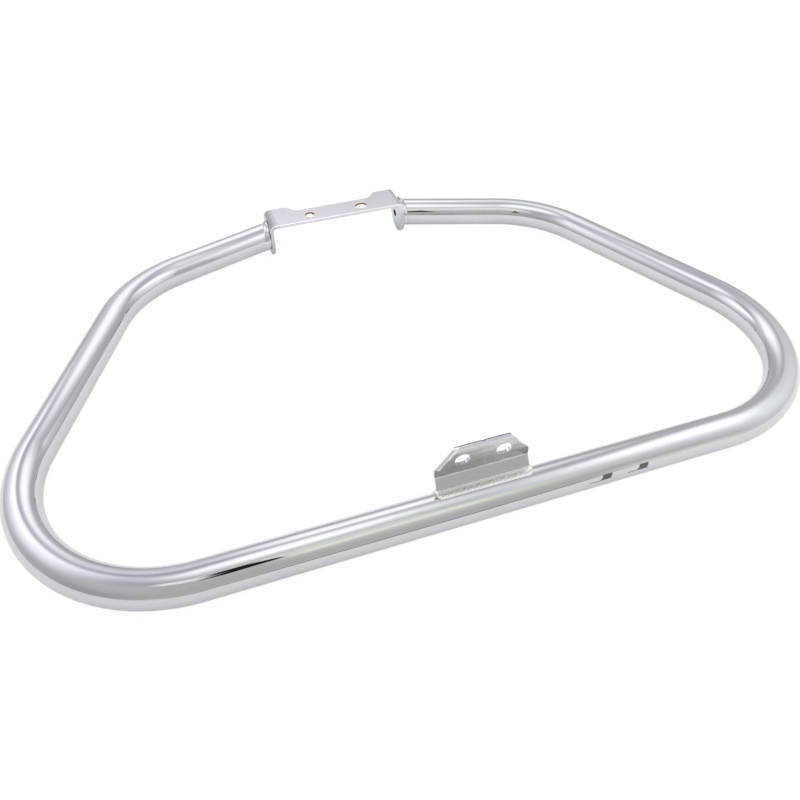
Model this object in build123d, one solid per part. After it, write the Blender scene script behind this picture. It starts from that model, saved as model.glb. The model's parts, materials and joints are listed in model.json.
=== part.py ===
from build123d import *
import math
import os

# Motorcycle engine guard: one bent steel tube, an upper strap bracket that joins its two ends,
# a lower tab bracket on the middle of its long run, and the weld beads that hold them.
# Millimetres and degrees. X runs across the guard, Y from the lower run to the upper bracket, Z up.

# Guard tube: a flat loop with one bend radius, open at the upper bracket.
tube_diameter = 31.75
tube_wall = 2.4
guard_width = 740.5
bend_radius = 126.0
shoulder_height = 396.4
side_lean = 23.7
top_slope = 19.4

# Upper bracket: a strap folded down at both ends into round-ended ears that close the tube.
upper_plate = 4.0
upper_length = 166.4
upper_inner_bend = 4.0
ear_border = 3.5
ear_setback = 0.5
ear_tip_drop = 7.7
web_clearance = 1.6
web_width = 29.0
notch_top_span = 111.0
notch_foot_span = 91.0
notch_round = 8.0
upper_edge_round = 0.5

# Holes of the upper bracket: one round, one slotted along X, and a vent through each ear.
upper_hole_diameter = 11.1
upper_hole_spacing = 63.5
upper_hole_edge = 13.2
upper_slot_travel = 3.2
vent_diameter = 7.5
vent_back = 6.2
vent_down = 4.2

# Upper welds: a fillet ring round each tube end, where it meets its ear.
upper_weld_tube_leg = 5.0
upper_weld_ear_leg = 2.3
upper_weld_bulge = 0.65

# Lower bracket: a tab that leans back off the tube and is then bent upright.
lower_plate = 3.5
lower_width = 80.6
foot_lean = 30.0
foot_length = 12.0
lower_inner_bend = 1.5
flange_height = 27.6
corner_cut_width = 17.6
corner_cut_height = 20.5
corner_round = 2.5
lower_edge_round = 0.4

# Slots of the lower bracket, both along X.
lower_slot_width = 11.1
lower_slot_travel = 1.6
lower_slot_spacing = 35.4
lower_slot_height = 13.9

# Lower weld: a bead all round the foot of the tab, wide on the tube and low on the plate.
lower_weld_half_width = 9.6
lower_weld_plate_leg = 2.0
lower_weld_end_leg = 2.2
lower_weld_bulge = 1.9
lower_weld_end_bulge = 0.4
lower_weld_corner = 3.5
weld_lip = 0.4

# Places that follow from the sizes above, with the tube's axis on Z = 0 and its lower run on Y = 0.
tube_radius = tube_diameter / 2
ear_face = upper_length / 2
lower_turn = math.radians(90 + side_lean)
lower_corner = guard_width / 2 - tube_radius - bend_radius * (1 - math.tan(lower_turn / 2))
shoulder = lower_corner - shoulder_height * math.tan(math.radians(side_lean))
tube_end_radius = tube_radius / math.cos(math.radians(top_slope))


def top_run_axis(x):
    """Y of the top run's axis at the distance x from the middle of the guard."""
    return shoulder_height + (shoulder - x) * math.tan(math.radians(top_slope))


ear_axis = top_run_axis(ear_face)
ear_half = tube_end_radius + ear_border
ear_middle = ear_axis + ear_setback
front_edge = ear_middle - ear_half
back_edge = ear_middle + ear_half
notch_edge = front_edge + web_width
web_top = tube_radius + web_clearance + upper_plate
ear_tip = -tube_radius - ear_tip_drop
ear_round_center = ear_tip + ear_half

# Length of the tools that cut right through a bracket.
through = 2 * (web_top - ear_tip)

# The guard lies flat, with its origin on the ground under the middle of its outline.
ground = min(ear_tip, -tube_radius)
rest = Pos(0, (tube_radius - back_edge) / 2, -ground)


def guard_bar(radius):
    """Solid bar along the tube's centreline, with its two ends cut flush with the ears."""
    inside = ear_face - tube_diameter
    right = [(lower_corner, 0), (shoulder, shoulder_height), (inside, top_run_axis(inside))]
    left = [(-x, y) for x, y in reversed(right)]
    path = FilletPolyline(*left, *right, radius=bend_radius)
    bar = sweep((path ^ 0) * Circle(radius), path=path)
    between_ears = Pos(0, ear_axis, 0) * Box(upper_length, through, through)
    return bar - between_ears


tube_outside = guard_bar(tube_radius)
tube_bore = guard_bar(tube_radius - tube_wall)


def upper_bracket():
    """Strap of channel section, trimmed to its plan and to the round ends of its ears, then drilled."""
    height = web_top - ear_tip
    base = (Align.CENTER, Align.MIN)
    outside = Pos(0, ear_tip) * Rectangle(upper_length, height, align=base)
    outside = fillet(outside.vertices().group_by(Axis.Y)[-1], upper_inner_bend + upper_plate)
    inside = Pos(0, ear_tip) * Rectangle(upper_length - 2 * upper_plate, height - upper_plate, align=base)
    inside = fillet(inside.vertices().group_by(Axis.Y)[-1], upper_inner_bend)
    strap = extrude(Plane.XZ.offset(-front_edge) * (outside - inside), amount=front_edge - back_edge)

    right = [(ear_face, front_edge), (ear_face, back_edge)]
    right += [(notch_top_span / 2, back_edge), (notch_foot_span / 2, notch_edge)]
    left = [(-x, y) for x, y in reversed(right)]
    plan = make_face(Polyline(*right, *left, close=True))
    notch_corners = plan.vertices().filter_by(lambda v: abs(v.X) < ear_face - upper_plate)
    plan = fillet(notch_corners, notch_round)
    strap &= extrude(plan, amount=through, both=True)

    ear_sides = Pos(ear_middle, ear_round_center) * Rectangle(2 * ear_half, through, align=base)
    ear_end = Pos(ear_middle, ear_round_center) * Circle(ear_half)
    strap &= extrude(Plane.YZ * (ear_sides + ear_end), amount=upper_length, both=True)
    strap = fillet(strap.edges(), upper_edge_round)

    hole_row = front_edge + upper_hole_edge
    round_hole = Pos(-upper_hole_spacing / 2, hole_row) * Circle(upper_hole_diameter / 2)
    slot = SlotCenterToCenter(upper_slot_travel, upper_hole_diameter)
    slot_hole = Pos(upper_hole_spacing / 2, hole_row) * slot
    bolt_holes = extrude(round_hole + slot_hole, amount=through)

    vent = Pos(ear_axis + vent_back, -vent_down) * Circle(vent_diameter / 2)
    vents = extrude(Plane.YZ * vent, amount=upper_length, both=True)
    return strap - bolt_holes - vents


def upper_weld(side):
    """Ring lofted through ellipses, from the ear's face out along the tube, with the tube taken out."""
    sink = -weld_lip
    stations = [(0, upper_weld_ear_leg)]
    stations += [(upper_weld_tube_leg / 2, (upper_weld_ear_leg + sink) / 2 + upper_weld_bulge)]
    stations += [(upper_weld_tube_leg, sink)]
    rings = []
    for out, grow in stations:
        x = ear_face + out
        ring = Ellipse(tube_end_radius + grow, tube_radius + grow)
        rings.append(Plane.YZ.offset(side * x) * Pos(top_run_axis(x), 0) * ring)
    return loft(rings, ruled=True) - tube_outside


# Plane across the tab's foot: its normal runs up the foot and its Y points to the back of the tab.
foot_angle = math.radians(90 - foot_lean)
foot_plane = Plane(origin=(0, 0, 0), x_dir=(1, 0, 0), z_dir=(0, math.cos(foot_angle), math.sin(foot_angle)))


def lower_bracket():
    """Bent strip extruded across the guard, trimmed to its outline, slotted and coped to the tube."""
    foot_up = tube_radius + foot_length
    bend_y = foot_up * math.cos(foot_angle)
    bend_z = foot_up * math.sin(foot_angle)
    front = FilletPolyline((0, 0), (bend_y, bend_z), (bend_y, bend_z + flange_height), radius=lower_inner_bend)
    strip = make_face(offset(front, lower_plate, side=Side.RIGHT, closed=True))
    tab = extrude(Plane.YZ * strip, amount=lower_width / 2, both=True)

    top = bend_z + flange_height
    right = [(lower_width / 2, 0), (lower_width / 2, top - corner_cut_height)]
    right += [(lower_width / 2 - corner_cut_width, top)]
    left = [(-x, z) for x, z in reversed(right)]
    face = make_face(Polyline(*right, *left, close=True))
    face = fillet(face.vertices().filter_by(lambda v: v.Y > 0), corner_round)
    tab &= extrude(Plane.XZ * face, amount=through, both=True)
    tab = fillet(tab.edges().filter_by(lambda e: e.center().Z > bend_z), lower_edge_round)

    slot = SlotCenterToCenter(lower_slot_travel, lower_slot_width)
    for side in (-1, 1):
        hole = Pos(side * lower_slot_spacing / 2, bend_z + lower_slot_height) * slot
        tab -= extrude(Plane.XZ * hole, amount=through, both=True)
    return tab - tube_outside


def lower_weld(tab):
    """Bead lofted round the tab's foot, from wide on the tube to close on the plate, with both taken out."""
    low = math.sqrt(tube_radius**2 - lower_weld_half_width**2) - weld_lip
    high = tube_radius + lower_weld_plate_leg
    wide = [lower_width + 2 * lower_weld_end_leg, 2 * lower_weld_half_width, 0, lower_weld_corner]
    close = [lower_width + 2 * weld_lip, lower_plate + 2 * weld_lip, lower_plate / 2, weld_lip]
    bulge = [2 * lower_weld_end_bulge, 2 * lower_weld_bulge, 0, 0]
    middle = [(a + b) / 2 + c for a, b, c in zip(wide, close, bulge)]
    rings = []
    for up, (length, width, back, corner) in zip((low, (low + high) / 2, high), (wide, middle, close)):
        rings.append(foot_plane.offset(up) * Pos(0, back) * RectangleRounded(length, width, corner))
    return loft(rings, ruled=True) - tube_outside - tab


lower_tab = lower_bracket()
pieces = {
    "guard_tube": tube_outside - tube_bore,
    "upper_bracket": upper_bracket(),
    "upper_left_weld": upper_weld(-1),
    "upper_right_weld": upper_weld(1),
    "lower_bracket": lower_tab,
    "lower_weld": lower_weld(lower_tab),
}

os.makedirs("parts", exist_ok=True)
for node, piece in pieces.items():
    export_step(rest * piece, f"parts/{node}.step")
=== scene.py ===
import json
import math

import bpy
import numpy as np
from mathutils import Matrix, Vector
from mathutils.geometry import delaunay_2d_cdt

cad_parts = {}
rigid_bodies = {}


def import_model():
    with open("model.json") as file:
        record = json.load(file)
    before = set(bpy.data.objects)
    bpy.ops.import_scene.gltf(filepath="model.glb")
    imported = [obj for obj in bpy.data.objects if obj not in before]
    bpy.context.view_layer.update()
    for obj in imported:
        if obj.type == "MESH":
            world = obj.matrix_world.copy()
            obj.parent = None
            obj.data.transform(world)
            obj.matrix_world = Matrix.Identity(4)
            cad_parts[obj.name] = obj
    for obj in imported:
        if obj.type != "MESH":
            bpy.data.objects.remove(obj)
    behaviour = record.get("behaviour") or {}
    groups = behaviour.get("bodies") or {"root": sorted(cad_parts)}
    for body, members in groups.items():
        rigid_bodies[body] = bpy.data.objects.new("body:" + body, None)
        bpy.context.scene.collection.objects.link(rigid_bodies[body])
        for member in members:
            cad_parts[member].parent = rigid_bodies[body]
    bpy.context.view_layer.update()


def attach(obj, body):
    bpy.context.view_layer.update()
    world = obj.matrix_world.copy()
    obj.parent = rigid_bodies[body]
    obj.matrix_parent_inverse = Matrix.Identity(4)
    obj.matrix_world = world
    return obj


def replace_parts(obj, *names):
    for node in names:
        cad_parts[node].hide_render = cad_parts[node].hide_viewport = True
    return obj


for leftover in list(bpy.data.objects):
    bpy.data.objects.remove(leftover)
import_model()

# Guard tube
# One length of round steel tube, cold bent to four equal radii into a flat loop, then polished and chromed.
# Its two ends are cut on a slant and butt against the ears of the upper bracket.
mm = 0.001
tube_radius = 15.875 * mm
tube_skin = 15.85 * mm
bore_radius = 13.475 * mm
tube_sides = 144
bend_radius = 126 * mm
guard_width = 740.5 * mm
shoulder_height = 396.4 * mm
side_lean = math.radians(23.7)
top_slope = math.radians(19.4)
ear_face = 83.2 * mm
ear_drop = 7.7 * mm
ear_setback = 0.5 * mm
ear_border = 3.5 * mm
tube_tones = ((0.3, (0.565, 0.575, 0.598)), (0.7, (0.595, 0.605, 0.625)))

lower_turn = math.pi / 2 + side_lean
upper_turn = math.pi - lower_turn - top_slope
lower_corner = guard_width / 2 - tube_radius - bend_radius * (1 - math.tan(lower_turn / 2))
shoulder = lower_corner - shoulder_height * math.tan(side_lean)
ear_axis = shoulder_height + (shoulder - ear_face) * math.tan(top_slope)
ear_middle = ear_axis + ear_setback
ear_half = tube_radius / math.cos(top_slope) + ear_border
lower_run = np.array([0, (tube_radius - ear_middle - ear_half) / 2, tube_radius + ear_drop])


def guard_line(bend_steps, run_steps):
    """Centreline of the loop: points, headings and lengths along it, from the left ear to the right one.
    From the middle of the lower run it is a straight run, an arc, a run, an arc and a run to the ear. On an arc
    the heading grows evenly, and the point is the arc's centre plus the radius at a right angle to the heading.
    The left half is the right half mirrored across X = 0."""
    lower_reach = bend_radius * math.tan(lower_turn / 2)
    upper_reach = bend_radius * math.tan(upper_turn / 2)
    side = shoulder_height / math.cos(side_lean)
    top = (shoulder - ear_face) / math.cos(top_slope)
    place, heading = np.zeros(2), 0.0
    points, headings = [], []
    for run, turn in ((lower_corner - lower_reach, lower_turn), (side - lower_reach - upper_reach, upper_turn),
                      (top - upper_reach, 0.0)):
        share = np.linspace(0, 1, run_steps + 1)[:, None]
        points.append(place + share * run * np.array([math.cos(heading), math.sin(heading)]))
        headings.append(np.full(run_steps + 1, heading))
        place = points[-1][-1]
        if turn:
            bend = heading + turn * np.linspace(0, 1, bend_steps + 1)[1:-1]
            centre = place + bend_radius * np.array([-math.sin(heading), math.cos(heading)])
            points.append(centre + bend_radius * np.stack([np.sin(bend), -np.cos(bend)], 1))
            headings.append(bend)
            heading += turn
            place = centre + bend_radius * np.array([math.sin(heading), -math.cos(heading)])
    points, headings = np.vstack(points), np.concatenate(headings)
    points = np.vstack([points[:0:-1] * [-1, 1], points])
    headings = np.concatenate([-headings[:0:-1], headings])
    lengths = np.concatenate([[0], np.cumsum(np.linalg.norm(np.diff(points, axis=0), axis=1))])
    return points, headings, lengths


def tube_wall(radius, bend_steps, run_steps):
    """Wall of the tube: circles square to the centreline, each point being line + radius * (cos * outward + sin * up).
    The first and last circle are slid along the tube onto the planes of the ears."""
    line, heading, length = guard_line(bend_steps, run_steps)
    angle = np.linspace(0, 2 * np.pi, tube_sides, endpoint=False)
    along = np.stack([np.cos(heading), np.sin(heading), 0 * heading], 1)
    outward = np.stack([np.sin(heading), -np.cos(heading), 0 * heading], 1)
    normals = np.cos(angle)[:, None] * outward[:, None] + np.sin(angle)[:, None] * np.array([0, 0, 1.0])
    points = np.column_stack([line, 0 * heading])[:, None] + radius * normals
    for end, plane in ((0, -ear_face), (-1, ear_face)):
        points[end] += along[end] * ((plane - points[end, :, :1]) / along[end, 0])
    return points + lower_run, normals, length


def grid_faces(rows, columns, closed=False):
    """Quads of a grid of points laid row by row, as rows, columns and point numbers. The last column joins the first,
    and where it is closed the last row joins the first too."""
    i, j = np.meshgrid(np.arange(rows - 1 + closed), np.arange(columns), indexing="ij")
    row = np.stack([i, i + 1, i + 1, i], -1).reshape(-1, 4)
    column = np.stack([j, j, j + 1, j + 1], -1).reshape(-1, 4)
    return row, column, row % rows * columns + column % columns


def lay_mesh(name, points, faces, material, normals=None):
    """New smooth mesh piece at the origin, with its place in its points and, where given, its exact normals."""
    mesh = bpy.data.meshes.new(name)
    mesh.from_pydata(np.asarray(points).tolist(), [], [list(face) for face in faces])
    mesh.polygons.foreach_set("use_smooth", np.ones(len(mesh.polygons), bool))
    if normals is not None:
        mesh.normals_split_custom_set_from_vertices(np.asarray(normals).tolist())
    mesh.materials.append(material)
    piece = bpy.data.objects.new(name, mesh)
    bpy.context.scene.collection.objects.link(piece)
    return piece


def add_node(tree, kind, sockets=(), **settings):
    """Adds a node with its settings given by name. Each socket, by number or name, gets a value or a link."""
    made = tree.nodes.new(kind)
    for key, value in settings.items():
        setattr(made, key, value)
    for key, value in dict(sockets).items():
        if isinstance(value, bpy.types.NodeSocket):
            tree.links.new(value, made.inputs[key])
        else:
            made.inputs[key].default_value = value
    return made


def add_math(tree, operation, *values):
    """Result of one sum, product or other operation on values or links."""
    return add_node(tree, "ShaderNodeMath", enumerate(values), operation=operation).outputs[0]


def add_noise(tree, place, scale, detail, roughness=0.5):
    """Cloudy noise from 0 to 1 over a place."""
    sockets = {"Vector": place, "Scale": scale, "Detail": detail, "Roughness": roughness}
    return add_node(tree, "ShaderNodeTexNoise", sockets).outputs["Fac"]


def add_span(tree, value, start, end, low=0, high=1, shape="SMOOTHSTEP"):
    """Step of a value, which goes from low to high between the start and the end, smoothly or on a line."""
    sockets = {"Value": value, "From Min": start, "From Max": end, "To Min": low, "To Max": high}
    return add_node(tree, "ShaderNodeMapRange", sockets, interpolation_type=shape).outputs["Result"]


def add_ramp(tree, value, stops):
    """Colours read off a value by even blends between the stops, each one a position and a colour or a grey."""
    ramp = add_node(tree, "ShaderNodeValToRGB", {"Fac": value})
    while len(ramp.color_ramp.elements) < len(stops):
        ramp.color_ramp.elements.new(0.5)
    for element, (position, tone) in zip(ramp.color_ramp.elements, stops):
        element.position = position
        element.color = (*np.broadcast_to(tone, 3), 1)
    return ramp.outputs["Color"]


def metal_finish(name):
    """New metal: the material, its node tree and its places on the surface."""
    material = bpy.data.materials.new(name)
    material.use_nodes = True
    tree = material.node_tree
    tree.nodes["Principled BSDF"].inputs["Metallic"].default_value = 1
    return material, tree, add_node(tree, "ShaderNodeTexCoord").outputs


def plate_metal(tree, colour, rough, relief, strength, distance):
    """Gives the metal its colour, its roughness and the normal of a fine relief."""
    bump = add_node(tree, "ShaderNodeBump", {"Height": relief, "Strength": strength, "Distance": distance})
    for socket, source in (("Base Color", colour), ("Roughness", rough), ("Normal", bump.outputs["Normal"])):
        tree.links.new(source, tree.nodes["Principled BSDF"].inputs[socket])


def tube_chrome():
    """Mirror chrome: a faint haze in patches, and fine polishing lines that run along the tube."""
    material, tree, places = metal_finish("mirror_chrome")
    haze = add_noise(tree, places["Object"], scale=34, detail=5, roughness=0.6)
    stretch = add_node(tree, "ShaderNodeMapping", {"Vector": places["UV"], "Scale": (900, 7, 1)})
    polish = add_noise(tree, stretch.outputs["Vector"], scale=1, detail=3, roughness=0.55)
    rough = add_span(tree, add_math(tree, "MULTIPLY", haze, polish), 0.12, 0.42, 0.018, 0.045, "LINEAR")
    plate_metal(tree, add_ramp(tree, haze, tube_tones), rough, polish, 0.25, 0.004 * mm)
    return material


outer, outer_normals, outer_length = tube_wall(tube_skin, bend_steps=72, run_steps=10)
inner, inner_normals, _ = tube_wall(bore_radius, bend_steps=18, run_steps=3)
row, column, outer_faces = grid_faces(len(outer), tube_sides)
_, _, inner_faces = grid_faces(len(inner), tube_sides)
inner_faces = inner_faces[:, ::-1] + len(outer) * tube_sides
first = np.arange(tube_sides)
last = first + (len(outer) - 1) * tube_sides
bore_first = first + len(outer) * tube_sides
bore_last = bore_first + (len(inner) - 1) * tube_sides
left_rim = np.stack([first, np.roll(first, -1), np.roll(bore_first, -1), bore_first], 1)
right_rim = np.stack([last, bore_last, np.roll(bore_last, -1), np.roll(last, -1)], 1)
tube_points = np.vstack([outer.reshape(-1, 3), inner.reshape(-1, 3)])
tube_normals = np.vstack([outer_normals.reshape(-1, 3), -inner_normals.reshape(-1, 3)])
tube_faces = np.vstack([outer_faces, inner_faces, left_rim, right_rim])
tube = lay_mesh("bent_tube", tube_points, tube_faces, tube_chrome(), tube_normals)
wrap = np.zeros((len(tube_faces), 4, 2))
wrap[:len(outer_faces), :, 0] = column * (2 * math.pi * tube_radius / tube_sides)
wrap[:len(outer_faces), :, 1] = outer_length[row]
tube.data.uv_layers.new(name="along_tube").data.foreach_set("uv", wrap.astype(np.float32).ravel())
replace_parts(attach(tube, "root"), "guard_tube")

# Upper bracket
# A strap of 4 mm steel plate with a notched back edge, folded down at both ends into round-ended ears.
# It is punched for two bolts and two vents, its edges are softened by polishing, and its chrome is satin.
strap_plate = 4 * mm
strap_inner_bend = 4 * mm
strap_neutral = strap_inner_bend + strap_plate / 2
strap_edge = 0.8 * mm
front_edge = 1.15 * mm
web_clearance = 1.6 * mm
web_width = 29 * mm
notch_top, notch_foot, notch_round = 55.5 * mm, 45.5 * mm, 8 * mm
bolt_half, bolt_margin = 31.75 * mm, 13.2 * mm
bolt_hole, bolt_travel, bolt_edge = 11.1 * mm, 3.2 * mm, 0.4 * mm
vent_hole, vent_edge = 8.3 * mm, 0.2 * mm
vent_back, vent_down = 6.2 * mm, 4.2 * mm
strap_step, hole_step, web_step = 0.8 * mm, 0.5 * mm, 1.3 * mm
tint_start, tint_end = 35 * mm, 70 * mm
fold_shade = 3.5 * mm
ear_full, ear_fade = 13 * mm, 5 * mm
# Distances from a bolt hole's middle over which its painted rim highlight fades out.
rim_highlight_start, rim_highlight_end = 6.5 * mm, 11.5 * mm
web_tones = ((0.3, (0.595, 0.588, 0.628)), (0.72, (0.64, 0.633, 0.675)))
ear_tones = ((0.35, (0.43, 0.462, 0.485)), (0.65, (0.525, 0.555, 0.575)))
# Painted reflections on the walls of the bolt holes: dark brown near the top face, cream further down.
hole_wall_reflections = ((0.02, (0.16, 0.11, 0.07)), (0.36, (0.10, 0.07, 0.04)), (0.50, (0.98, 0.94, 0.86)))
web_right = (0.645, 0.64, 0.675)
# Painted shade on the left fold of the web, which faces the darker left side of the tent.
left_fold_shade = (0.44, 0.435, 0.46)
# Painted highlight of the rolled rims: a warm pale ring round each bolt hole.
hole_rim_highlight = (0.70, 0.62, 0.57)
# Painted shade: the vent walls are black, as the inside of the tube behind them is dark.
vent_wall_shade = (0.004, 0.004, 0.004)
# Painted highlight along the rounded front edge of the web.
front_edge_highlight = (0.94, 0.94, 0.96)

web_top = tube_radius + web_clearance + strap_plate
strap_front = ear_middle - ear_half
strap_back = ear_middle + ear_half
web_half = ear_face - strap_plate / 2 - strap_neutral
web_level = web_top - strap_plate / 2
ear_start = web_half + strap_neutral * math.pi / 2
blank_half = ear_start + web_level - strap_neutral + tube_radius + ear_drop
bolt_row = strap_front + bolt_margin


def rounded_outline(corners, radii, step):
    """Closed outline through a polygon: at each corner an arc tangent to both sides, whose centre lies on the
    corner's bisector, then points at even steps along the whole outline."""
    corners = np.asarray(corners, float)
    trace = []
    for corner, before, after, radius in zip(corners, np.roll(corners, 1, 0), np.roll(corners, -1, 0), radii):
        back = (before - corner) / np.linalg.norm(before - corner)
        ahead = (after - corner) / np.linalg.norm(after - corner)
        half = math.acos(np.clip(back @ ahead, -1, 1)) / 2
        centre = corner + (back + ahead) / np.linalg.norm(back + ahead) * radius / math.sin(half)
        start = corner + back * radius / math.tan(half) - centre
        turn = math.pi - 2 * half
        side = math.copysign(1, back[1] * ahead[0] - back[0] * ahead[1])
        swing = np.linspace(0, turn * side, max(8, int(turn * radius / step * 4)))
        trace.append(centre + np.stack([start[0] * np.cos(swing) - start[1] * np.sin(swing),
                                        start[0] * np.sin(swing) + start[1] * np.cos(swing)], 1))
    trace = np.vstack(trace + [trace[0][:1]])
    length = np.concatenate([[0], np.cumsum(np.linalg.norm(np.diff(trace, axis=0), axis=1))])
    marks = np.linspace(0, length[-1], int(length[-1] / step), endpoint=False)
    return np.stack([np.interp(marks, length, trace[:, k]) for k in (0, 1)], 1)


def slot_outline(middle, width, travel, step):
    """Outline of a hole, run round the other way: a polygon as long and wide as the slot, rounded by half its width."""
    x, y = (width + travel) / 2, width / 2 * 1.0000001
    corners = np.array([(-x, -y), (-x, y), (x, y), (x, -y)]) + middle
    return rounded_outline(corners, [width / 2 * 0.99999] * 4, step)


def inside(points, loops):
    """True where a point lies in an odd number of the loops: edges that cross a line from it towards +X are counted."""
    count = np.zeros(len(points), int)
    for loop in loops:
        a, b = loop, np.roll(loop, -1, 0)
        for part in range(0, len(points), 4000):
            p = points[part:part + 4000, None]
            spans = (a[:, 1] > p[..., 1]) != (b[:, 1] > p[..., 1])
            rise = np.where(b[:, 1] == a[:, 1], 1e-12, b[:, 1] - a[:, 1])
            cross = a[:, 0] + (p[..., 1] - a[:, 1]) / rise * (b[:, 0] - a[:, 0])
            count[part:part + 4000] += (spans & (p[..., 0] < cross)).sum(1)
    return count % 2 == 1


def flat_plate(loops, edges, thickness, step, rings=4):
    """Flat plate as points (along, across, up), normals, faces, and a share for each loop that is 1 on its wall.
    Each loop carries rings of points round its rim: a quarter circle of its edge radius, the straight wall and another
    quarter circle. Both faces are triangles between the rims and an even grid of points."""
    swing = np.concatenate([np.linspace(0, np.pi / 2, rings + 1), np.linspace(np.pi / 2, np.pi, rings + 1)])
    upper = (np.arange(len(swing)) <= rings)[:, None]
    points, normals, share, faces, tops, bottoms, flats, rim_edges = [], [], [], [], [], [], [], []
    count = rim_count = 0
    for number, (loop, edge) in enumerate(zip(loops, edges)):
        edge = np.broadcast_to(edge, len(loop))[None]
        inset = edge * (1 - np.sin(swing))[:, None]
        height = np.where(upper, thickness / 2 - edge, edge - thickness / 2) + edge * np.cos(swing)[:, None]
        along = np.roll(loop, -1, 0) - np.roll(loop, 1, 0)
        along /= np.linalg.norm(along, axis=1)[:, None]
        outward = np.stack([along[:, 1], -along[:, 0]], 1)
        flat = loop[None] - outward[None] * inset[..., None]
        points.append(np.dstack([flat, height]).reshape(-1, 3))
        wall = outward[None] * np.sin(swing)[:, None, None]
        normals.append(np.dstack([wall, np.broadcast_to(np.cos(swing)[:, None], flat.shape[:2])]).reshape(-1, 3))
        share.append(np.zeros((len(swing) * len(loop), len(loops))))
        share[-1][:, number] = np.repeat(np.sin(swing), len(loop))
        faces += (grid_faces(len(swing), len(loop))[2] + count).tolist()
        ids = np.arange(len(loop))
        tops.append(ids + count)
        bottoms.append(tops[-1] + (len(swing) - 1) * len(loop))
        flats.append(flat[0])
        rim_edges += (np.stack([ids, np.roll(ids, -1)], 1) + rim_count).tolist()
        count += len(swing) * len(loop)
        rim_count += len(loop)
    low, high = loops[0].min(0), loops[0].max(0)
    grid = np.stack(np.meshgrid(*[np.arange(a + step / 2, b, step) for a, b in zip(low, high)]), -1).reshape(-1, 2)
    rim = np.vstack(flats)
    near = ((grid[:, None, 0] - rim[:, 0]) ** 2 + (grid[:, None, 1] - rim[:, 1]) ** 2).min(1)
    grid = grid[inside(grid, flats) & (near > (0.5 * step) ** 2)]
    cloud = np.vstack([rim, grid])
    made = delaunay_2d_cdt([Vector(p) for p in cloud.tolist()], rim_edges, [], 0, 1e-9)
    source = np.array([o[0] for o in made[3]])
    triangles = source[np.array([f for f in made[2] if len(f) == 3])]
    triangles = triangles[inside(cloud[triangles].mean(1), flats)]
    a, b, c = (cloud[triangles[:, k]] for k in range(3))
    turned = (b[:, 0] - a[:, 0]) * (c[:, 1] - a[:, 1]) - (b[:, 1] - a[:, 1]) * (c[:, 0] - a[:, 0]) < 0
    triangles[turned] = triangles[turned][:, ::-1]
    for sign, rim_ids in ((1, np.concatenate(tops)), (-1, np.concatenate(bottoms))):
        ids = np.concatenate([rim_ids, np.arange(len(grid)) + count])
        points.append(np.column_stack([grid, np.full(len(grid), sign * thickness / 2)]))
        normals.append(np.tile([0.0, 0.0, sign], (len(grid), 1)))
        share.append(np.zeros((len(grid), len(loops))))
        faces += ids[triangles[:, ::sign]].tolist()
        count += len(grid)
    return np.vstack(points), np.vstack(normals), faces, np.vstack(share)


def fold_strap(points, normals):
    """Folds the blank: past the web's half length the distance along it becomes an angle, up to a right angle, at the
    neutral radius, and after that a drop. Height over the mid plane adds to the radius."""
    side = np.sign(points[:, 0])
    far = np.abs(points[:, 0])
    angle = np.clip(far - web_half, 0, ear_start - web_half) / strap_neutral
    drop = np.maximum(far - ear_start, 0)
    reach = strap_neutral + points[:, 2]
    x = side * (np.minimum(far, web_half) + reach * np.sin(angle))
    z = web_level - strap_neutral + reach * np.cos(angle) - drop
    nx = normals[:, 0] * np.cos(angle) + side * normals[:, 2] * np.sin(angle)
    nz = normals[:, 2] * np.cos(angle) - side * normals[:, 0] * np.sin(angle)
    return np.stack([x, points[:, 1], z], 1) + lower_run, np.stack([nx, normals[:, 1], nz], 1)


def mark_points(piece, **shares):
    """Keeps a share from 0 to 1 for each point of a piece, for the finish to read by its name."""
    for name, share in shares.items():
        piece.data.attributes.new(name, "FLOAT", "POINT").data.foreach_set("value", share.astype(np.float32))


def read_mark(tree, name):
    """Share that was kept under a name for each point of the piece, or 0 where the piece has none."""
    return add_node(tree, "ShaderNodeAttribute", attribute_name=name).outputs["Fac"]


def brow(points, share):
    """Share of the front face's rounded rim: the sine of twice the rim's angle, which is 1 half way round the edge."""
    return 2 * share * np.sqrt(np.maximum(1 - share ** 2, 0)) * (points[:, 2] > 0)


def add_layers(tree, painted, *layers):
    """Colours laid over a first one in turn, each as far as its cover reaches from 0 to 1."""
    for over, cover in layers:
        sockets = {"A": painted, "B": (*over, 1) if isinstance(over, tuple) else over, "Factor": cover}
        painted = add_node(tree, "ShaderNodeMix", sockets, data_type="RGBA", clamp_factor=True).outputs["Result"]
    return painted


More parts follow.
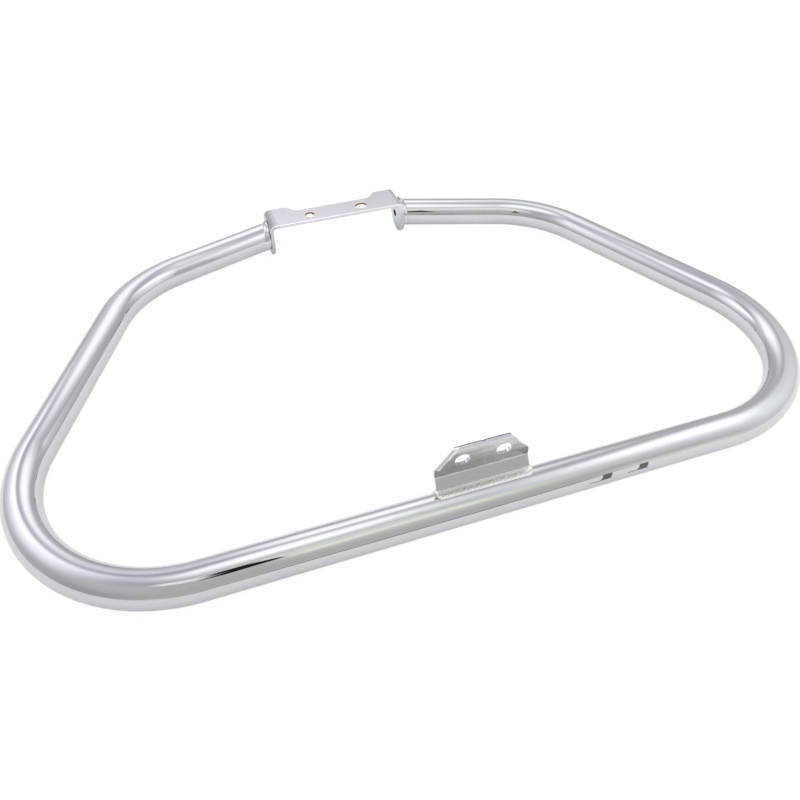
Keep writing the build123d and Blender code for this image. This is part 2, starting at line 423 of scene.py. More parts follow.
def strap_chrome():
    """Satin chrome: cloudy haze and a fine grain on the web, painted shade on the left fold, bluer and shinier ears,
    a warm pale ring painted round the bolt holes as the highlight of their rims, painted reflections on the hole
    walls, dark brown near the top and cream lower down, vent walls painted black as shade, and a painted white
    highlight along the front edge."""
    material, tree, places = metal_finish("satin_chrome")
    place = places["Object"]
    axes = add_node(tree, "ShaderNodeSeparateXYZ", {0: place}).outputs
    cloud = add_noise(tree, place, scale=70, detail=6, roughness=0.65)
    mottle = add_noise(tree, place, scale=240, detail=4, roughness=0.6)
    grain = add_noise(tree, place, scale=2200, detail=2)
    level = lower_run[2] + web_level
    rim_highlights = []
    for x in (-bolt_half, bolt_half):
        hole = (x, bolt_row + lower_run[1], level + strap_plate / 2)
        away = add_node(tree, "ShaderNodeVectorMath", {0: place, 1: hole}, operation="DISTANCE").outputs["Value"]
        rim_highlights.append((hole_rim_highlight, add_span(tree, away, rim_highlight_start, rim_highlight_end, 0.75, 0)))
    painted = add_layers(
        tree, add_ramp(tree, cloud, web_tones),
        (web_right, add_span(tree, axes["X"], tint_start, tint_end)),
        (left_fold_shade, add_span(tree, axes["X"], -web_half, fold_shade - web_half, 0.85, 0)),
        (add_ramp(tree, mottle, ear_tones), add_span(tree, axes["Z"], level - ear_full, level - ear_fade, 1, 0)),
        *rim_highlights,
        (add_ramp(tree, read_mark(tree, "depth"), hole_wall_reflections), add_span(tree, read_mark(tree, "bore"), 0.1, 0.4)),
        (vent_wall_shade, add_span(tree, read_mark(tree, "vent"), 0.1, 0.4)),
        (front_edge_highlight, add_span(tree, read_mark(tree, "line"), 0.15, 0.8)))
    satin = add_span(tree, add_math(tree, "ABSOLUTE", axes["X"]), web_half - 1 * mm, web_half + 2 * mm, 0.17, 0.08)
    polish = add_span(tree, read_mark(tree, "rim"), 0, 0.3, 1, 0.35)
    rough = add_math(tree, "MULTIPLY_ADD", cloud, 0.06, add_math(tree, "MULTIPLY", satin, polish))
    plate_metal(tree, painted, rough, grain, 0.25, 0.02 * mm)
    return material


notch_edge = strap_front + web_width
strap_corners = [(blank_half, strap_front), (blank_half, strap_back), (notch_top, strap_back), (notch_foot, notch_edge),
                 (-notch_foot, notch_edge), (-notch_top, strap_back), (-blank_half, strap_back),
                 (-blank_half, strap_front)]
ear_round = ear_half * 0.9999
strap_radii = [ear_round] * 2 + [notch_round] * 4 + [ear_round] * 2
vent_along = ear_start + web_level - strap_neutral + vent_down
strap_loops = [rounded_outline(strap_corners, strap_radii, strap_step)]
for x, travel in ((-bolt_half, 0), (bolt_half, bolt_travel)):
    strap_loops.append(slot_outline((x, bolt_row), bolt_hole, travel, hole_step))
for x in (-vent_along, vent_along):
    strap_loops.append(slot_outline((x, ear_axis + vent_back), vent_hole, 0, hole_step))
at_front = (strap_loops[0][:, 1] < strap_front + 0.1 * mm) & (np.abs(strap_loops[0][:, 0]) < ear_start)
strap_edges = [np.where(at_front, front_edge, strap_edge), bolt_edge, bolt_edge, vent_edge, vent_edge]
strap_points, strap_normals, strap_faces, strap_rims = flat_plate(strap_loops, strap_edges, strap_plate, web_step)
# Share of the front edge's rim that carries the painted highlight.
strap_highlight_line = brow(strap_points, strap_rims[:, 0]) * (strap_points[:, 1] < strap_front + 2 * mm)
strap_highlight_line *= np.abs(strap_points[:, 0]) < ear_start
strap_depth = 0.5 - strap_points[:, 2] / strap_plate
strap_points, strap_normals = fold_strap(strap_points, strap_normals)
strap = lay_mesh("folded_strap", strap_points, strap_faces, strap_chrome(), strap_normals)
mark_points(strap, rim=strap_rims[:, 0], line=strap_highlight_line, depth=strap_depth,
            bore=strap_rims[:, 1] + strap_rims[:, 2], vent=strap_rims[:, 3] + strap_rims[:, 4])
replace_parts(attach(strap, "root"), "upper_bracket")

# Upper welds
# A fillet of weld metal laid round each tube end where it meets its ear, then chromed over with the rest.
# The torch leaves overlapping ripples, so each bead is a ring of rounded lobes with sharp valleys between them.
bead_on_tube, bead_on_ear = 5 * mm, 2.3 * mm
bead_bulge, bead_sink = 0.65 * mm, 0.25 * mm
bead_run_out, run_out_angle = 4 * mm, 1.35 * math.pi
bead_thin, thin_angle = 0.9, 1.42 * math.pi
bead_core, bead_lip = 0.6 * mm, 0.2 * mm
bead_ripple, bead_lobes = 0.15 * mm, 20
bead_steps, bead_rows = 480, 19
smooth_tones = ((0.34, (0.55, 0.56, 0.575)), (0.66, (0.64, 0.65, 0.66)))
skirt_grey = (0.64, 0.64, 0.625)
toe_dark = (0.17, 0.165, 0.16)
tube_end_radius = tube_radius / math.cos(top_slope)


def ripples(around, across, lobes, lean):
    """Height from 0 to 1 of overlapping weld ripples: the size of a sine to the power 0.6, whose lobes lean back in the
    middle of the bead, with their spacing and size varied by slow sines."""
    drift = 0.35 * np.sin(3.1 * around + 0.7) + 0.25 * np.sin(7.3 * around + 2.1) + 0.12 * np.sin(17 * around)
    wave = np.abs(np.sin(np.pi * (lobes * around / (2 * np.pi) + lean * np.sin(np.pi * across) + drift))) ** 0.6
    return wave * (0.75 + 0.25 * np.sin(5 * around + 1.3) * np.sin(11 * around + 0.4))


def end_bead(side):
    """Ring bead: ellipses round the tube's slanted end, moved out along the tube. From the ear to the tube its rise
    over the tube falls on a line plus a parabola, plus ripples that fade at both toes. Under the tube it is thin, and
    the left bead runs out further there. Two last rows close it inside."""
    around, across = np.meshgrid(np.linspace(0, 2 * np.pi, bead_steps, endpoint=False), np.linspace(0, 1, bead_rows))
    reach = bead_on_tube + (bead_run_out if side < 0 else 0) * (0.5 + 0.5 * np.cos(around - run_out_angle))
    full = 1 - bead_thin * np.maximum(np.cos(around - thin_angle), 0) ** 1.5
    rise = full * (bead_on_ear * (1 - across) + bead_bulge * 4 * across * (1 - across)) - bead_sink * across
    rough = ripples(around * side, across, bead_lobes, 0.4) - 0.5
    rise += bead_ripple * full * rough * np.sin(np.pi * across) ** 0.5
    rise = np.vstack([rise, np.full((2, bead_steps), -bead_core)])
    x = ear_face + np.vstack([reach * across, reach[:1] * 0.8, np.full((1, bead_steps), bead_lip)])
    around = np.vstack([around, around[:2]])
    y = shoulder_height + (shoulder - x) * math.tan(top_slope) + (tube_end_radius + rise) * np.cos(around)
    points = np.stack([side * x, y, (tube_radius + rise) * np.sin(around)], -1) + lower_run
    return points.reshape(-1, 3), grid_faces(len(x), bead_steps, closed=True)[2][:, ::side]


def weld_chrome(name, tones, smooth, coarse):
    """Chrome over weld metal: an uneven mirror with a finely pitted skin, whose spots go from dull to bright in colour
    and from smooth to coarse in roughness. Its skirt on the tube is greyer, and the toe of the skirt is dark."""
    material, tree, places = metal_finish(name)
    spots = add_noise(tree, places["Object"], scale=260, detail=6, roughness=0.7)
    pits = add_noise(tree, places["Object"], scale=1100, detail=4, roughness=0.6)
    skirt = read_mark(tree, "skirt")
    painted = add_layers(tree, add_ramp(tree, spots, tones), (skirt_grey, add_span(tree, skirt, 0.42, 0.60)),
                         (toe_dark, add_span(tree, skirt, 0.90, 0.96)))
    plate_metal(tree, painted, add_span(tree, spots, 0.3, 0.7, smooth, coarse), pits, 0.4, 0.05 * mm)
    return material


bead_finish = weld_chrome("smooth_weld", smooth_tones, 0.05, 0.13)
for side, name, node in ((-1, "left_end_bead", "upper_left_weld"), (1, "right_end_bead", "upper_right_weld")):
    bead = lay_mesh(name, *end_bead(side), bead_finish)
    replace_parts(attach(bead, "root"), node)

# Lower bracket
# A tab of 3.5 mm steel plate with two cropped corners and two slots for the frame's bolts.
# It leans back off the lower run, is bent upright along one line, and its thin plating is dull and clouded.
# Reflections, highlights and shade are painted onto it.
tab_plate = 3.5 * mm
tab_half = 40.3 * mm
tab_inner_bend = 1.5 * mm
tab_neutral = tab_inner_bend + tab_plate / 2
tab_edge, sheared_edge, slot_edge = 0.8 * mm, 1.7 * mm, 0.4 * mm
foot_lean = math.radians(30)
foot_length, foot_round, foot_sink = 12 * mm, 0.8 * mm, 0.7 * mm
flange_height = 27.6 * mm
corner_height, corner_round = 20.5 * mm, 2.5 * mm
crop_width, shear_width = 17.6 * mm, 15.6 * mm
shear_reach, shear_fade, shear_blur = 3.2 * mm, 0.8 * mm, 5
nick_depth, nick_width = 0.7 * mm, 1.1 * mm
slot_half, slot_up = 17.7 * mm, 13.9 * mm
slot_width, slot_travel = 11.1 * mm, 1.6 * mm
tab_step, slot_step, flange_step = 0.6 * mm, 0.4 * mm, 0.9 * mm
# Painted reflections in bands up the flange: olive ones on the left blend into blue ones on the right.
reflection_left, reflection_right = -20 * mm, 16 * mm
reflection_low, reflection_high = 44 * mm, 76 * mm
olive_reflections = ((0.12, (0.57, 0.575, 0.565)), (0.16, (0.235, 0.246, 0.252)), (0.34, (0.27, 0.283, 0.288)),
               (0.48, (0.60, 0.615, 0.59)), (0.62, (0.54, 0.55, 0.52)), (0.76, (0.305, 0.31, 0.29)),
               (0.91, (0.63, 0.63, 0.67)))
blue_reflections = ((0.12, (0.575, 0.58, 0.585)), (0.16, (0.26, 0.273, 0.286)), (0.34, (0.36, 0.378, 0.396)),
              (0.48, (0.82, 0.835, 0.845)), (0.62, (0.86, 0.875, 0.89)), (0.76, (0.575, 0.59, 0.60)),
              (0.91, (0.63, 0.645, 0.655)))
# Shear ribs on the cropped corner, painted bright as a highlight of its rounded edge.
shear_ribs_and_highlight = ((0, (0.70, 0.70, 0.71)), (1, (0.92, 0.92, 0.94)))
# Painted highlight along the bend line: a thin white band read off the height.
fold_highlight_band = ((0.098, 0), (0.109, 1), (0.118, 1), (0.131, 0))
fold_highlight = (0.80, 0.80, 0.79)
grain_grey = (0.40, 0.40, 0.40)
# Painted shade with a lilac cast on the top wall, against its bright reflection of the tent roof.
top_wall_shade = (0.55, 0.55, 0.595)
# Painted dark reflection along the back rim of the top edge.
top_edge_dark_reflection = (0.04, 0.04, 0.045)

foot_up = np.array([0, math.sin(foot_lean), math.cos(foot_lean)])
foot_back = np.array([0, math.cos(foot_lean), -math.sin(foot_lean)])
bend_setback = tab_inner_bend * math.tan(foot_lean / 2)
foot_reach = tube_radius + foot_length - bend_setback
flange_start = tab_neutral * foot_lean
flange_top = flange_start + flange_height - bend_setback


def bend_tab(points, normals):
    """Bends the blank: below zero it runs straight down the foot, then its distance becomes an angle at the neutral
    radius up to the lean of the foot, and above that it runs straight up."""
    angle = np.clip(points[:, 1], 0, flange_start) / tab_neutral
    below = np.minimum(points[:, 1], 0)[:, None]
    above = np.maximum(points[:, 1] - flange_start, 0)[:, None]
    back = np.stack([0 * angle, np.cos(angle - foot_lean), np.sin(angle - foot_lean)], 1)
    up = np.stack([0 * angle, -np.sin(angle - foot_lean), np.cos(angle - foot_lean)], 1)
    centre = foot_up * foot_reach - foot_back * tab_inner_bend
    placed = centre + back * (tab_neutral - points[:, 2:]) + foot_up * below + np.array([0, 0, 1.0]) * above
    placed[:, 0] = points[:, 0]
    turned = up * normals[:, 1:2] - back * normals[:, 2:]
    turned[:, 0] = normals[:, 0]
    return placed + lower_run, turned


def tab_chrome():
    """Thin chrome over rolled plate: a hazy mirror, with painted reflections in bands up the flange, olive on the
    left and blue on the right, a painted highlight along the bend, ribs and a painted highlight on the sheared
    corner, painted lilac shade on the top wall, a dark reflection painted behind the top edge, and a grain."""
    material, tree, places = metal_finish("thin_chrome")
    place = places["Object"]
    axes = add_node(tree, "ShaderNodeSeparateXYZ", {0: place}).outputs
    cloud = add_noise(tree, place, scale=60, detail=4, roughness=0.55)
    stretch = add_node(tree, "ShaderNodeMapping", {"Vector": place, "Scale": (150, 1500, 1500)})
    grain = add_noise(tree, stretch.outputs["Vector"], scale=1, detail=3, roughness=0.6)
    rise = add_span(tree, axes["Z"], reflection_low, reflection_high, shape="LINEAR")
    band = add_math(tree, "ADD", rise, add_math(tree, "MULTIPLY_ADD", cloud, 0.10, -0.05))
    aside = add_math(tree, "ADD", add_span(tree, axes["X"], reflection_left, reflection_right, shape="LINEAR"),
                     add_math(tree, "MULTIPLY_ADD", cloud, 0.5, -0.25))
    ribs = add_node(tree, "ShaderNodeTexWave", {"Vector": place, "Scale": 190, "Distortion": 3, "Detail": 2},
                    bands_direction="Z")
    painted = add_layers(
        tree, add_ramp(tree, band, olive_reflections),
        (add_ramp(tree, band, blue_reflections), aside),
        (grain_grey, add_span(tree, grain, 0.45, 0.75, 0, 0.4)),
        (fold_highlight, add_ramp(tree, rise, fold_highlight_band)),
        (top_wall_shade, add_span(tree, read_mark(tree, "top"), 0.5, 0.95)),
        (add_ramp(tree, ribs.outputs["Fac"], shear_ribs_and_highlight), add_span(tree, read_mark(tree, "shear"), 0.05, 0.9)),
        (top_edge_dark_reflection, add_span(tree, read_mark(tree, "line"), 0.6, 0.95)))
    rough = add_math(tree, "MULTIPLY_ADD", grain, 0.1,
                     add_span(tree, read_mark(tree, "rim"), 0, 0.3, 0.09, 0.03, "LINEAR"))
    plate_metal(tree, painted, rough, grain, 0.4, 0.03 * mm)
    return material


tab_foot = -foot_reach + tube_radius - foot_sink
corner_foot = flange_top - corner_height
tab_corners = [(tab_half, tab_foot), (tab_half, corner_foot), (tab_half - crop_width, flange_top),
               (shear_width - tab_half, flange_top), (-tab_half, corner_foot), (-tab_half, tab_foot)]
tab_radii = [foot_round] + [corner_round] * 4 + [foot_round]
slot_level = flange_top - flange_height + slot_up
tab_loops = [rounded_outline(tab_corners, tab_radii, tab_step)]
for x in (-slot_half, slot_half):
    tab_loops.append(slot_outline((x, slot_level), slot_width, slot_travel, slot_step))
tab_rim = tab_loops[0]
sheared = (tab_rim[:, 0] < shear_width - tab_half) & (tab_rim[:, 1] > corner_foot - 0.5 * mm)
sheared = np.stack([np.roll(sheared, k) for k in range(-shear_blur, shear_blur + 1)]).mean(0)
tab_rim[:, 1] -= nick_depth * np.exp(-(tab_rim[:, 0] / nick_width) ** 2) * (tab_rim[:, 1] > flange_top - 1 * mm)
tab_edges = [tab_edge + (sheared_edge - tab_edge) * sheared, slot_edge, slot_edge]
tab_points, tab_normals, tab_faces, tab_rims = flat_plate(tab_loops, tab_edges, tab_plate, flange_step)
tab_top = tab_rims[:, 0] * (tab_points[:, 1] > flange_top - 1.5 * mm) * (tab_points[:, 0] > shear_width - tab_half)
tab_line = (tab_top > 0) * (tab_points[:, 2] < 0)
slant = np.array([corner_height, -shear_width]) / math.hypot(corner_height, shear_width)
from_cut = (tab_points[:, :2] - [-tab_half, corner_foot]) @ slant
tab_shear = np.clip((shear_reach - from_cut) / shear_fade, 0, 1)
tab_shear *= (tab_points[:, 2] > -1 * mm) * (tab_points[:, 1] > corner_foot + 1 * mm)
tab_points, tab_normals = bend_tab(tab_points, tab_normals)
tab = lay_mesh("bent_tab", tab_points, tab_faces, tab_chrome(), tab_normals)
mark_points(tab, rim=tab_rims.sum(1), line=tab_line, shear=tab_shear, top=tab_top)
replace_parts(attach(tab, "root"), "lower_bracket")

# Lower weld
# One bead laid all round the foot of the tab, wide on the tube and low on the plate, rough from a heavy pass.
# It bulges at the two ends, where the torch turned the corner.
foot_bead_left, foot_bead_right, foot_bead_half = -42.5 * mm, 41 * mm, 9.6 * mm
foot_bead_radii = [3.5 * mm, 7 * mm, 3.5 * mm, 3.5 * mm]
plate_track_half, plate_track_front, plate_track_back = 40.6 * mm, -0.3 * mm, 3.8 * mm
plate_track_radius = 0.5 * mm
plate_leg = 2 * mm
track_shrink, track_shift = (0.99, 0.24), (0, 1.6 * mm)
toe_sink, core_sink = 0.15 * mm, 0.8 * mm
crest_push, crest_lift = 0.32, 0.9 * mm
heel_ripple, heel_lobes = 0.10 * mm, 96
heel_turns, heel_rows = 900, 21
track_step = 0.05 * mm
rough_tones = ((0.34, (0.84, 0.835, 0.815)), (0.66, (1.0, 0.99, 0.97)))


def track(left, right, front, back, radii):
    """Rounded rectangle round the foot, as seen down the plate."""
    return rounded_outline([(left, front), (right, front), (right, back), (left, back)], radii, track_step)


def foot_bead():
    """Bead round the foot: each station joins a point on the tube to one on the plate by a curve (1-t)^2 A + 2t(1-t) C
    + t^2 B, with C pushed outwards, and ripples on top. The outer and the inner track are rounded rectangles."""
    outer = track(foot_bead_left, foot_bead_right, -foot_bead_half, foot_bead_half, foot_bead_radii)
    inner = track(-plate_track_half, plate_track_half, plate_track_front, plate_track_back, [plate_track_radius] * 4)
    outer = outer[np.linspace(0, len(outer), heel_turns, endpoint=False).astype(int)]
    shrunk = outer * track_shrink + track_shift
    inner = inner[np.argmin((shrunk[:, None] - inner[None]) ** 2 @ np.ones(2), 1)]
    across = np.linspace(0, 1, heel_rows)[:, None]
    low = np.column_stack([outer, np.sqrt(tube_radius ** 2 - outer[:, 1] ** 2) - toe_sink])
    high = np.column_stack([inner, np.full(heel_turns, tube_radius + plate_leg)])
    crest = 0.5 * (low + high)
    crest[:, :2] += crest_push * (outer - inner)
    crest[:, 2] += crest_lift
    points = ((1 - across)[..., None] ** 2 * low + (2 * across * (1 - across))[..., None] * crest
              + (across ** 2)[..., None] * high)
    around = np.linspace(0, 2 * np.pi, heel_turns, endpoint=False)[None]
    rough = ripples(around, across, heel_lobes, 0.7) - 0.5
    rough = rough + 0.6 * np.sin(61 * around + 9 * across) * np.sin(97 * around - 14 * across)
    push = (outer - inner) / np.linalg.norm(outer - inner, axis=1)[:, None]
    lift = heel_ripple * rough * np.sin(np.pi * across) ** 0.6
    points[..., :2] += 0.6 * lift[..., None] * push
    points[..., 2] += 0.8 * lift
    core = np.stack([np.column_stack([inner * [0.99, 0.8], np.full(heel_turns, tube_radius + plate_leg / 2)]),
                     np.column_stack([0.9 * outer + 0.1 * inner, low[:, 2] - core_sink])])
    points = np.concatenate([points, core])
    placed = points[..., :1] * np.array([1.0, 0, 0]) + points[..., 1:2] * foot_back + points[..., 2:] * foot_up
    return placed.reshape(-1, 3) + lower_run, grid_faces(len(points), heel_turns, closed=True)[2][:, ::-1]


heel_points, heel_faces = foot_bead()
heel = lay_mesh("foot_bead", heel_points, heel_faces, weld_chrome("rough_weld", rough_tones, 0.20, 0.34))
mark_points(heel, skirt=np.maximum(1 - np.arange(len(heel_points)) // heel_turns / (heel_rows - 1), 0))
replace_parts(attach(heel, "root"), "lower_weld")

# Table
# A white matt table top under the guard, which rests on the tips of its ears and on its lower run.
# It glows a little, so that the guard's shadow on it stays faint.
# Each look is a glow and a matt white, the first for the chrome and the second for the camera.
table_half = 6.0
table_gap = 0.05 * mm
table_looks = ((0.24, 0.86), (0.96, 0.07))
tilt = ear_drop / ear_middle


def stage_finish(name):
    """New finish for the stage: the material and its empty node tree."""
    material = bpy.data.materials.new(name)
    material.use_nodes = True
    material.node_tree.nodes.clear()
    return material, material.node_tree


def show_either(tree, cover, under, over):
    """Shows one surface over another, as far as the cover reaches from 0 to 1."""
    choice = add_node(tree, "ShaderNodeMixShader", {0: cover, 1: under, 2: over})
    add_node(tree, "ShaderNodeOutputMaterial", {"Surface": choice.outputs[0]})


def ray_kind(tree, kind):
    """1 for rays of one kind and 0 for all others."""
    return add_node(tree, "ShaderNodeLightPath").outputs[kind]


def glow(tree, colour, strength=1):
    """Surface that gives off its colour."""
    return add_node(tree, "ShaderNodeEmission", {"Color": colour, "Strength": strength}).outputs[0]


table_finish, table_tree = stage_finish("white_table")
table_sides = []
for light, shade in table_looks:
    matt = add_node(table_tree, "ShaderNodeBsdfDiffuse", {"Color": (shade, shade, shade, 1)})
    both = add_node(table_tree, "ShaderNodeAddShader", {0: glow(table_tree, (1, 1, 1, 1), light), 1: matt.outputs[0]})
    table_sides.append(both.outputs[0])
show_either(table_tree, ray_kind(table_tree, "Is Camera Ray"), *table_sides)
table_plan = table_half * np.array([(-1, -1), (1, -1), (1, 1), (-1, 1)])
table_level = ear_drop - (table_plan[:, 1] - lower_run[1]) * tilt - table_gap
table = lay_mesh("table_top", np.column_stack([table_plan, table_level]), [(0, 1, 2, 3)], table_finish)

# Studio tent
# A white cloth tent round the table, lit from outside by soft lamps, with a loose front sheet close to the guard.
# The chrome shows all of it. The camera sees no cloth, only plain white.
tent_middle = np.array([-0.180, 0.170, 0.054])
tent_radii = np.array([1.10, 1.23, 1.50])
tent_columns, tent_rows = 240, 75
tent_foot, tent_top = -3, 89.5
sheet_bow = 1.75
sheet_side = 0.0525
sheet_lean = 0.25
sheet_front = 0.338
# Each tone of the cloth stands at its elevation in degrees.
cloth_tones = ((0, (0.78, 0.76, 0.77)), (6, (0.66, 0.65, 0.65)), (14, (0.65, 0.64, 0.65)), (26, (0.69, 0.68, 0.70)),
               (38, (0.74, 0.73, 0.74)), (50, (0.69, 0.68, 0.73)), (60, (0.58, 0.58, 0.63)), (68, (0.84, 0.85, 0.85)),
               (76, (1.24, 1.25, 1.22)), (83, (1.76, 1.77, 1.75)))
# A panel: name, azimuth, elevation, half width, half height and the fade past each, in degrees, and its colour.
panels = (
    ("front sheet", 175.0, 33.3, 7.8, 0, 24.5, 28.3, (1.06, 1.04, 0.89)),
    ("left wall", -57.9, 36.3, 4.5, 14.6, 30.8, 28.6, (0.94, 0.96, 1.04)),
    ("left lamp", -37.1, 42.1, 0.5, 0, 60, 26.4, (1.84, 1.83, 1.89)),
    ("left seam", -19.5, 35.4, 4.9, 3.0, 8.2, 58.8, (0.86, 0.84, 0.91)),
    ("middle lamp", 14.5, 45.5, 0, 2.9, 36.9, 21.2, (1.67, 1.64, 1.67)),
    ("right wall", 107.5, 38.7, 0.3, 4.6, 48.6, 60, (1.25, 1.29, 1.29)),
    ("right lamp", 98.4, 49.8, 0, 1.3, 37.3, 17.9, (1.93, 1.94, 1.95)),
    ("right gap", 60.7, 61.8, 2.0, 0, 20.7, 23.5, (0.72, 0.72, 0.80)),
    ("left gap", -27.4, 54.4, 0.7, 1.3, 16.4, 16.5, (0.61, 0.60, 0.68)),
    ("left foot", -119.5, 6.3, 3.3, 0, 23.8, 22.0, (0.55, 0.52, 0.55)),
    ("left roof", -43.2, 78.2, 0.9, 0, 17.3, 16.3, (1.64, 1.65, 1.72)),
    ("right seam", 59.2, 48.4, 0, 15.1, 10.6, 1.9, (0.70, 0.69, 0.72)),
    ("sheet glow", -176.7, 32.2, 8.0, 3.0, 12.0, 8.0, (1.25, 1.22, 1.10)),
    ("opening shade", -149.3, 36.0, 7.3, 12.0, 5.1, 5.0, (0.70, 0.68, 0.68)),
    ("front lamp", -149.3, 55.5, 7.2, 2.9, 8.1, 4.7, (1.35, 1.32, 1.28)),
    ("sheet top", -174.3, 51.4, 9.1, 9.6, 6.1, 6.9, (1.06, 1.04, 0.97)),
    ("right foot", 140, 3, 8, 2, 14, 8, (0.95, 0.95, 0.95)),
    ("front opening", -159.4, 38.6, 2.15, 4.6, 0.2, 1.4, (0, 0, 0)),
    ("opening neck", -160.7, 47.8, 1.1, 8.3, 0.8, 1.8, (0.02, 0.02, 0.02)),
    ("opening top", -159.7, 57.6, 2.0, 0.6, 1.2, 1.5, (0.15, 0.15, 0.15)),
)
# Painted shade in a grey band along the foot of the cloth where it meets the table, fading out to the right.
tent_shade_low, tent_shade_high = 4 * mm, 10 * mm
tent_shade_end, tent_shade_fade = 120 * mm, 60 * mm
tent_shade_grey = (0.2, 0.2, 0.2)


def tent_skin():
    """Cloth seen from the origin: along each direction it lies at the nearer of an ellipsoid, which is the far root of
    its quadratic, and the front sheet, whose distance to the front grows with the square of X and with Z."""
    azimuth = np.linspace(0, 2 * np.pi, tent_columns, endpoint=False)[None]
    elevation = np.radians(np.linspace(tent_foot, tent_top, tent_rows))[:, None]
    toward = np.stack([np.sin(azimuth) * np.cos(elevation), np.cos(azimuth) * np.cos(elevation),
                       np.sin(elevation) + 0 * azimuth], -1)
    a = ((toward / tent_radii) ** 2).sum(-1)
    b = (toward * tent_middle / tent_radii ** 2).sum(-1)
    c = ((tent_middle / tent_radii) ** 2).sum() - 1
    dome = (b + np.sqrt(b ** 2 - a * c)) / a
    bow = sheet_bow * toward[..., 0] ** 2
    ahead = sheet_side * toward[..., 0] - toward[..., 1] - sheet_lean * toward[..., 2]
    root = np.sqrt(np.maximum(ahead ** 2 - 4 * bow * sheet_front, 0))
    reaches = (ahead > 0) & (ahead ** 2 > 4 * bow * sheet_front)
    sheet = np.where(reaches, 2 * sheet_front / np.where(reaches, ahead + root, 1), np.inf)
    return toward * np.minimum(dome, sheet)[..., None]


def panel_cover(tree, toward, azimuth, elevation, halves, fades):
    """Cover of one panel: 1 within its half width and half height, both as angles from its middle, then fading to 0."""
    a, e = math.radians(azimuth), math.radians(elevation)
    ahead = Vector((math.sin(a) * math.cos(e), math.cos(a) * math.cos(e), math.sin(e)))
    across = Vector((math.cos(a), -math.sin(a), 0))
    ahead_part, across_part, up_part = (
        add_node(tree, "ShaderNodeVectorMath", {0: toward, 1: axis}, operation="DOT_PRODUCT").outputs["Value"]
        for axis in (ahead, across, across.cross(ahead)))
    angles = add_math(tree, "ARCTAN2", across_part, ahead_part), add_math(tree, "ARCSINE", up_part)
    return add_math(tree, "MULTIPLY", *(
        add_span(tree, add_math(tree, "ABSOLUTE", angle), math.radians(half), math.radians(half + fade), 1, 0)
        for angle, half, fade in zip(angles, halves, fades)))


def tent_cloth():
    """Cloth that glows by its elevation and its panels, as seen from the origin, with painted shade in a grey band
    along its foot at the table. It is clear to the camera."""
    material, tree = stage_finish("tent_cloth")
    place = add_node(tree, "ShaderNodeTexCoord").outputs["Object"]
    axes = add_node(tree, "ShaderNodeSeparateXYZ", {0: place}).outputs
    toward = add_node(tree, "ShaderNodeVectorMath", {0: place}, operation="NORMALIZE").outputs["Vector"]
    rise = add_node(tree, "ShaderNodeSeparateXYZ", {0: toward}).outputs["Z"]
    climb = add_span(tree, add_math(tree, "ARCSINE", rise), 0, math.pi / 2, shape="LINEAR")
    painted = add_ramp(tree, climb, [(height / 90, tone) for height, tone in cloth_tones])
    for _, azimuth, elevation, half_x, half_y, fade_x, fade_y, colour in panels:
        cover = panel_cover(tree, toward, azimuth, elevation, (half_x, half_y), (fade_x, fade_y))
        painted = add_layers(tree, painted, (colour, cover))
    over_table = add_node(tree, "ShaderNodeVectorMath", {0: place, 1: (0, tilt, 1)}, operation="DOT_PRODUCT")
    ground = ear_drop + lower_run[1] * tilt
    tent_shade_band = add_span(tree, over_table.outputs["Value"], ground + tent_shade_low, ground + tent_shade_high, 1, 0)
    tent_shade = add_math(tree, "MULTIPLY", tent_shade_band, add_span(tree, axes["X"], tent_shade_end, tent_shade_end + tent_shade_fade, 1, 0))
    painted = add_layers(tree, painted, (tent_shade_grey, tent_shade))
    clear = add_node(tree, "ShaderNodeBsdfTransparent").outputs[0]
    show_either(tree, ray_kind(tree, "Is Camera Ray"), glow(tree, painted), clear)
    return material


roof = range((tent_rows - 1) * tent_columns, tent_rows * tent_columns)
tent_faces = [*grid_faces(tent_rows, tent_columns)[2].tolist(), roof]
tent = lay_mesh("studio_tent", tent_skin().reshape(-1, 3), tent_faces, tent_cloth())

# Tent pegs
# Two small grey pegs with flat feet that hold the front sheet down on the table, just in front of the lower run.
# The chrome shows them as two dark marks. The camera doesn't see them, and they throw no shadow.
# Each box is given by its left, right, low and high side.
peg_boxes = np.array([(107.2, 114.8, 8, 28.6), (143, 150, 8, 28.6), (97, 118, 8, 9.5), (134, 153, 8, 9.5)]) * mm
peg_front, peg_depth = -266 * mm, 3 * mm
peg_grey = (0.22, 0.23, 0.21, 1)
box_corners = np.array([(x, y, z) for z in (0, 1) for x, y in ((0, 0), (1, 0), (1, 1), (0, 1))])
box_sides = np.array([(0, 1, 5, 4), (1, 2, 6, 5), (2, 3, 7, 6), (3, 0, 4, 7), (4, 5, 6, 7), (3, 2, 1, 0)])


def mirrored_only(name, look):
    """Finish that only mirrors show: the look gives its surface and its cover, and the rest is clear."""
    material, tree = stage_finish(name)
    surface, cover = look(tree)
    show_either(tree, cover, add_node(tree, "ShaderNodeBsdfTransparent").outputs[0], surface)
    return material


def peg_look(tree):
    """Dark grey, shown to every glossy ray."""
    return glow(tree, peg_grey), ray_kind(tree, "Is Glossy Ray")


peg_points = [(left, peg_front, low) + box_corners * (right - left, peg_depth, high - low)
              for left, right, low, high in peg_boxes]
peg_faces = np.vstack([box_sides + len(box_corners) * k for k in range(len(peg_boxes))])
pegs = lay_mesh("tent_pegs", np.vstack(peg_points), peg_faces, mirrored_only("peg_grey", peg_look))

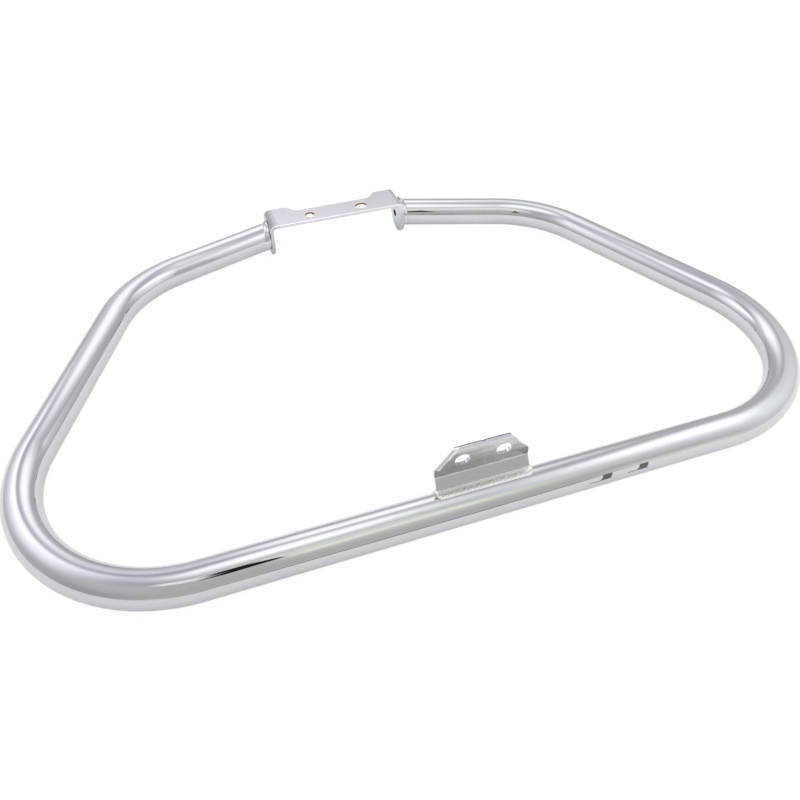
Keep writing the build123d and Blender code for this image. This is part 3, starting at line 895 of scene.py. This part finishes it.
# Tent flap
# A strip of cloth that hangs from the roof of the tent over the lower run, grey at its foot and white higher up.
# It gives the upper right run its grey band, and the small brown hole in it gives a dark speck.
# Only its back shows, and only in mirrors.
flap_left, flap_right = -300 * mm, 160 * mm
flap_low, flap_high = 80 * mm, 640 * mm
flap_front = -200 * mm
flap_turn, flap_drop = -40 * mm, 285 * mm
flap_tones = ((0, 0.61), (0.07, 0.64), (0.18, 0.69), (0.29, 0.77), (0.39, 0.83), (0.50, 0.89), (0.59, 1.13),
              (0.70, 1.26), (0.86, 1.30), (1, 1.20))
hole_left, hole_tip, hole_right = -82 * mm, -26 * mm, 6 * mm
hole_low, hole_high = 208 * mm, 375 * mm
hole_front = flap_front + 1 * mm
hole_brown = (0.13, 0.12, 0.105, 1)


def seen_from_back(tree):
    """1 for glossy rays that meet the back of a face, and 0 for all others."""
    behind = add_node(tree, "ShaderNodeNewGeometry").outputs["Backfacing"]
    return add_math(tree, "MULTIPLY", ray_kind(tree, "Is Glossy Ray"), behind)


def flap_look(tree):
    """Glow that follows the height on the flap, less a drop that grows from the turn to the left edge."""
    place = add_node(tree, "ShaderNodeTexCoord").outputs["Object"]
    axes = add_node(tree, "ShaderNodeSeparateXYZ", {0: place}).outputs
    drop = add_span(tree, axes["X"], flap_left, flap_turn, flap_drop, 0, "LINEAR")
    height = add_span(tree, add_math(tree, "SUBTRACT", axes["Z"], drop), flap_low, flap_high, shape="LINEAR")
    return glow(tree, add_ramp(tree, height, flap_tones)), seen_from_back(tree)


def hole_look(tree):
    """Faint brown glow."""
    return glow(tree, hole_brown), seen_from_back(tree)


flap_points = [(flap_left, flap_front, flap_low), (flap_right, flap_front, flap_low),
               (flap_right, flap_front, flap_high), (flap_left, flap_front, flap_high),
               (hole_left, hole_front, hole_low), (hole_right, hole_front, hole_low), (hole_tip, hole_front, hole_high)]
flap = lay_mesh("tent_flap", flap_points, [(0, 1, 2, 3), (4, 5, 6)], mirrored_only("flap_cloth", flap_look))
flap.data.materials.append(mirrored_only("flap_hole", hole_look))
flap.data.polygons[1].material_index = 1

# World
# Plain white, kept off the guard by the tent, which only the camera sees through.
# It makes the picture white where the camera looks past the table.
studio = bpy.data.worlds.new("studio")
studio.use_nodes = True
studio.node_tree.nodes["Background"].inputs["Color"].default_value = (1, 1, 1, 1)
bpy.context.scene.world = studio

# Camera
# A camera on a stand, half a metre above the table, in front of the guard and to its left.
# It looks down over the lower run towards the upper bracket.
camera_place = (-0.186218, -0.559819, 0.489930)
view_right = Vector((0.94426, -0.32914, -0.00648))
view_down = Vector((-0.23195, -0.65122, -0.72258))
view_ahead = Vector((0.23361, 0.68380, -0.69126))
camera = bpy.data.objects.new("camera", bpy.data.cameras.new("camera"))
camera.data.lens, camera.data.sensor_width = 33.109, 36
camera.data.shift_y = 0.0003
camera_turn = Matrix((view_right, -view_down, -view_ahead)).transposed().to_4x4()
camera.matrix_world = Matrix.Translation(camera_place) @ camera_turn
bpy.context.scene.collection.objects.link(camera)
bpy.context.scene.camera = camera
bpy.context.scene.view_settings.view_transform = "Standard"
